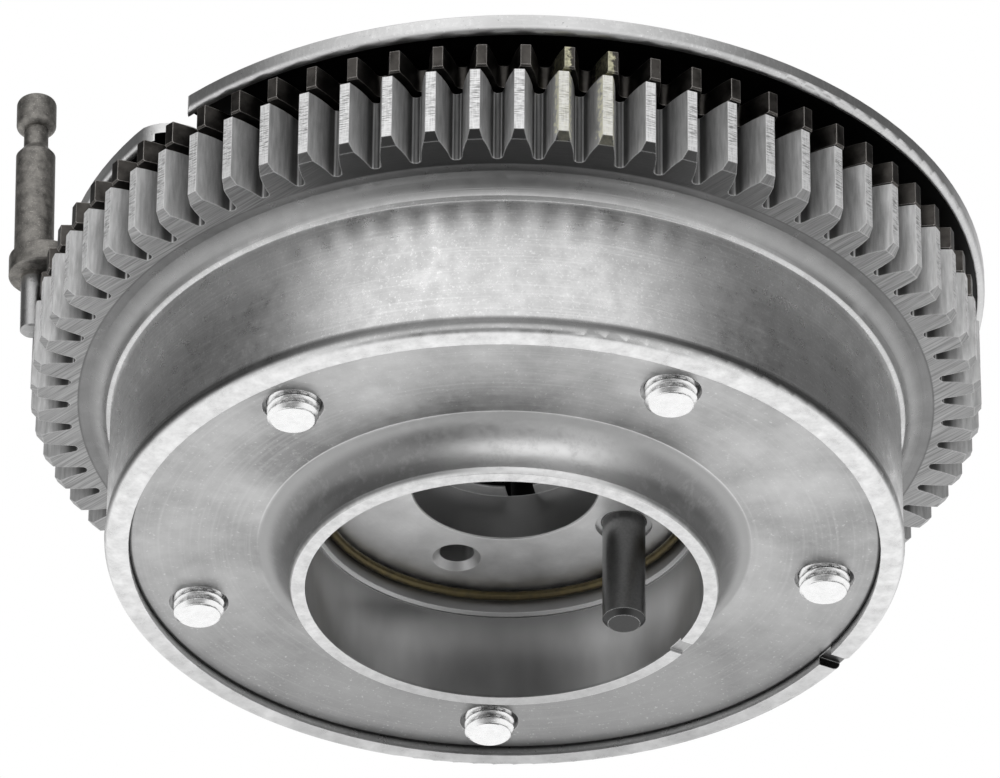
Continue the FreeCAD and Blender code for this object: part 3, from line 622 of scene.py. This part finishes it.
# Looks of the record's material slots
slots = {
    "drum_steel": drum_steel(),
    "stator_steel": ground_steel("sintered_steel_stator", "9c9c9c", "b4b4b4"),
    "cover_steel": cover_steel(),
    "front_steel": ground_steel("satin_steel_front", "a0a0a0", "bcbcbc"),
    "zinc_bolt": zinc(),
    "rotor_steel": ground_steel("ground_steel_rotor", "d0d0d0", "ececec", "a0a0a0", 0.12),
    # The dowel gets painted shade on its lower end and a white painted highlight on its edges
    "dowel_steel": plain_steel("blackened_steel_dowel", "8a8a8a", "9c9c9c", 0.36, 0.33333,
                               "ffffff", "484848"),
    "bronze_wire": plain_steel("oiled_spring_wire_ring", "4a4436", "62593f", 0.34, 1.25, "7c7458"),
    "seal_polymer": polymer(),
    "spring_strip": plain_steel("spring_strip_steel", "9a9a9c", "b6b6b8", 0.3),
    "lock_steel": plain_steel("hardened_steel_lock", "969696", "b4b4b4", 0.3),
    "spring_wire": plain_steel("spring_wire_steel", "7a7a7a", "9c9c9c", 0.34),
    "scissor_steel": scissor_steel(),
    "small_pin_steel": plain_steel("ground_steel_pin", "aaaaaa", "c8c8c8", 0.28),
    "ring_steel": plain_steel("phosphated_ring_steel", "46443f", "6a6762", 0.45),
    "wheel_steel": wheel_steel(),
    "screw_steel": plain_steel("zinc_screw", "c8c8c8", "ececec", 0.26),
    "bias_steel": plain_steel("blued_spring_strip", "3e444c", "5a6068", 0.3),
    "phosphate_steel": phosphate(),
}

for part in frame["record"]["subparts"]:
    node = nodes[part["node"]]
    node.data.materials.clear()
    node.data.materials.append(slots[part["material_slot"]])


# Bolts with a cut thread at the open end
def thread_radius(angle, z, low):
    # Radius of the thread's flank at a height, with the bevelled end's limit, in millimetres.
    phase = (z / THREAD_PITCH - angle / (2 * math.pi)) % 1.0
    away = min(1.0, max(0.0, (abs(2 * phase - 1) - CREST_FLAT) / FLANK))
    return min(CREST_R - THREAD_DEPTH * away, END_R + (z - low) * END_SLOPE)


def plain_end(bm, node):
    # The bolt without its open end, closed at the plane where the thread starts.
    bm.from_mesh(node.data)
    bm.transform(node.matrix_world)
    bmesh.ops.remove_doubles(bm, verts=bm.verts, dist=JOIN_WITHIN)
    cut = bmesh.ops.bisect_plane(bm, geom=bm.verts[:] + bm.edges[:] + bm.faces[:],
                                 dist=CUT_WITHIN, plane_co=(0, 0, THREAD_TOP * MM),
                                 plane_no=(0, 0, -1), clear_outer=True)
    ring = [g for g in cut["geom_cut"] if isinstance(g, bmesh.types.BMEdge)]
    bmesh.ops.edgeloop_fill(bm, edges=ring)


def thread(bm, cx, cy, z0):
    # The threaded end from its tip up, closed at both ends.
    rows = []
    for j in range(ROWS + 1):
        z = z0 + (THREAD_TOP - z0) * j / ROWS
        row = []
        for i in range(AROUND):
            angle = 2 * math.pi * i / AROUND
            r = thread_radius(angle, z, z0) * MM
            row.append(bm.verts.new((cx + r * math.cos(angle), cy + r * math.sin(angle), z * MM)))
        rows.append(row)
    for a, b in zip(rows, rows[1:]):
        for i in range(AROUND):
            k = (i + 1) % AROUND
            bm.faces.new((a[i], a[k], b[k], b[i]))
    bm.faces.new(rows[0][::-1])
    bm.faces.new(rows[-1])


def make_bolt(number):
    node = nodes["housing_bolt_%d" % number]
    low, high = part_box(node.name)
    bm = bmesh.new()
    plain_end(bm, node)
    thread(bm, (low.x + high.x) / 2, (low.y + high.y) / 2, low.z / MM)
    mesh = bpy.data.meshes.new("bolt_%d" % number)
    bm.to_mesh(mesh)
    bm.free()
    for face in mesh.polygons:
        face.use_smooth = True
    mesh.set_sharp_from_angle(angle=math.radians(SHARP_ANGLE))
    mesh.materials.append(slots["zinc_bolt"])
    bolt = bpy.data.objects.new("bolt_%d" % number, mesh)
    bpy.context.scene.collection.objects.link(bolt)
    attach(bolt, "housing")
    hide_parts(node.name)


def make_lock_spring():
    # A copy of the same coil, carried by the rotor.
    node = nodes["lock_spring"]
    mesh = node.data.copy()
    mesh.name = "lock_coil"
    coil = bpy.data.objects.new("lock_coil", mesh)
    bpy.context.scene.collection.objects.link(coil)
    coil.matrix_world = node.matrix_world.copy()
    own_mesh(coil)
    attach(coil, "rotor")
    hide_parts("lock_spring")


# Floor, world, light and camera
def make_floor():
    bpy.ops.mesh.primitive_plane_add(size=FLOOR_SIZE, location=(0, 0, FLOOR_Z))
    floor = bpy.context.object
    floor.name = "floor"
    m = bpy.data.materials.new("pale_floor")
    m.use_nodes = True
    tree = m.node_tree
    tree.nodes.clear()
    # Seen only by the camera and only from above; the photograph looks up from below it
    path = add(tree, "ShaderNodeLightPath")
    back = add(tree, "ShaderNodeNewGeometry").outputs["Backfacing"]
    seen = mul(tree, path.outputs["Is Camera Ray"], less(tree, 1.0, back))
    pale = add(tree, "ShaderNodeBsdfDiffuse", {"Color": linear("f4f4f4")})
    clear = add(tree, "ShaderNodeBsdfTransparent")
    mix = add(tree, "ShaderNodeMixShader", {0: seen, 1: clear.outputs[0], 2: pale.outputs[0]})
    add(tree, "ShaderNodeOutputMaterial", {0: mix.outputs[0]})
    floor.data.materials.append(m)


def screen_light(tree, direction, azimuth, elevation, core, whole, dark):
    # What one screen leaves of the studio's light in a direction.
    a, e = math.radians(azimuth), math.radians(elevation)
    middle = (math.cos(a) * math.cos(e), math.sin(a) * math.cos(e), math.sin(e))
    near = vector_math(tree, "DOT_PRODUCT", direction, middle).outputs[1]
    screen = step_up(tree, near, math.cos(math.radians(whole)), math.cos(math.radians(core)))
    return less(tree, 1.0, mul(tree, screen, dark))


def make_world():
    # White to the camera, plain to matt surfaces, with dark screens in reflections.
    world = bpy.data.worlds.new("studio")
    bpy.context.scene.world = world
    world.use_nodes = True
    tree = world.node_tree
    tree.nodes.clear()
    direction = add(tree, "ShaderNodeTexCoord").outputs["Generated"]
    bright = mul(tree, *[screen_light(tree, direction, *screen) for screen in SCREENS])
    rays = add(tree, "ShaderNodeLightPath").outputs
    plain = larger(tree, rays["Is Camera Ray"], rays["Is Transmission Ray"])
    level = mix_value(tree, rays["Is Glossy Ray"], DIFFUSE_LEVEL, bright)
    level = mix_value(tree, plain, level, 1.0)
    sky = add(tree, "ShaderNodeBackground", {"Color": (1, 1, 1, 1), "Strength": level})
    add(tree, "ShaderNodeOutputWorld", {0: sky.outputs[0]})


def lamp(name, place, size, watts):
    # A soft lamp that points at the origin.
    light = bpy.data.lights.new(name, "AREA")
    light.shape = "RECTANGLE"
    light.size, light.size_y = size
    light.energy = watts
    obj = bpy.data.objects.new(name, light)
    bpy.context.scene.collection.objects.link(obj)
    obj.location = place
    obj.rotation_euler = (-Vector(place)).to_track_quat("-Z", "Y").to_euler()


def camera_turn(forward):
    # Rows of the camera's right, down and forward axes, aimed and rolled as fitted.
    right = Vector((1, 0, 0))
    turn = Matrix((right, -right.cross(forward), forward))
    yaw = math.atan2(CAM_AIM[0], CAM_FOCAL)
    pitch = math.atan2(CAM_AIM[1], CAM_FOCAL)
    yaw_turn = Matrix.Rotation(yaw, 3, "Y")
    pitch_turn = Matrix.Rotation(-pitch, 3, "X")
    roll_turn = Matrix.Rotation(math.radians(CAM_ROLL), 3, "Z")
    return roll_turn @ pitch_turn @ yaw_turn @ turn


def make_camera():
    below = math.radians(CAM_BELOW)
    place = Vector((0, -CAM_DISTANCE * math.cos(below), -CAM_DISTANCE * math.sin(below)))
    right, down, forward = camera_turn(-place.normalized())
    data = bpy.data.cameras.new("photo_camera")
    data.sensor_width = SENSOR
    data.lens = CAM_FOCAL * SENSOR / PHOTO_WIDTH
    data.clip_start, data.clip_end = CAM_CLIP
    cam = bpy.data.objects.new("photo_camera", data)
    bpy.context.scene.collection.objects.link(cam)
    axes = Matrix((right, -down, -forward)).transposed().to_4x4()
    cam.matrix_world = Matrix.Translation((place + Vector((0, 0, NOSE_END))) * MM) @ axes
    bpy.context.scene.camera = cam


for number in range(1, BOLTS + 1):
    make_bolt(number)
make_lock_spring()
make_floor()
make_world()
make_camera()
for name, (place, size, watts) in LAMPS.items():
    lamp(name, place, size, watts)

bpy.context.scene.view_settings.view_transform = "Standard"
